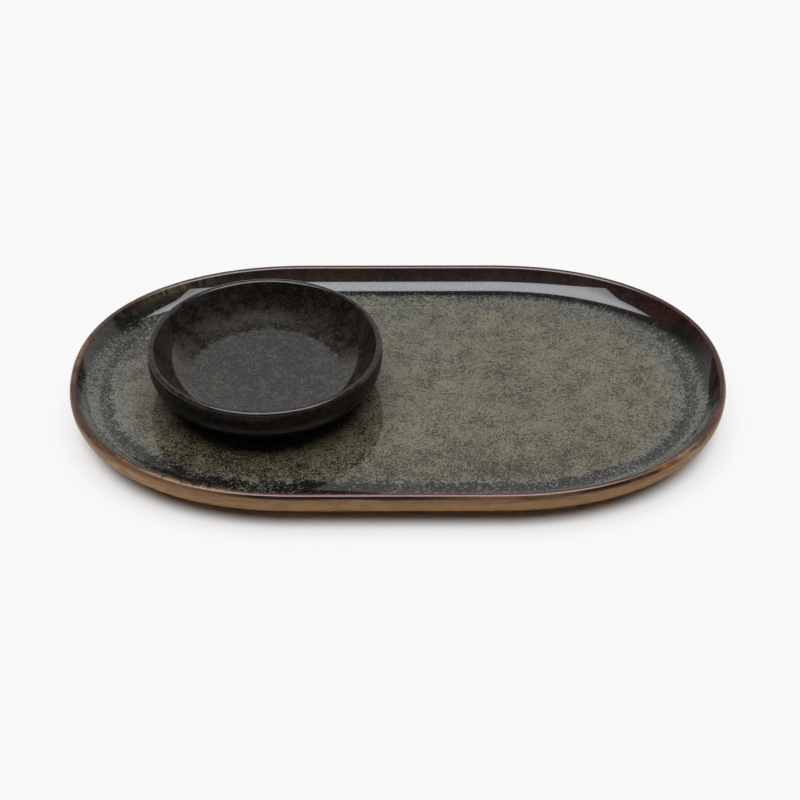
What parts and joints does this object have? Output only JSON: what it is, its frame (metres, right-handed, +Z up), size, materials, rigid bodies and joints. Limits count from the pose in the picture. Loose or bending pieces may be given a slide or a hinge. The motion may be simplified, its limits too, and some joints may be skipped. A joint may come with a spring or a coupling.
{
  "type": "tapas plate",
  "caption": "Oblong stoneware serving plate with straight sides, round ends, a low coved wall and a foot ring, and a loose round dip bowl standing on one half.",
  "frame": {"origin": "on the table under the middle of the plate", "axes": "+X along the plate, away from the bowl; +Y across it, away from the viewer in the picture; +Z up"},
  "size_m": [0.34, 0.204, 0.0355],
  "materials": {
    "plate_glaze": "glossy mottled grey-green glaze that breaks to brown at the lip",
    "bowl_glaze": "glossy brown-black glaze"
  },
  "bodies": {
    "plate": {"oval_plate": "plate_glaze"},
    "bowl": {"dip_bowl": "bowl_glaze"}
  },
  "joints": [
    {"name": "bowl_lift", "type": "slide", "parent": "plate", "child": "bowl", "axis": [0, 0, 1], "range_m": [0, 0.08]}
  ]
}
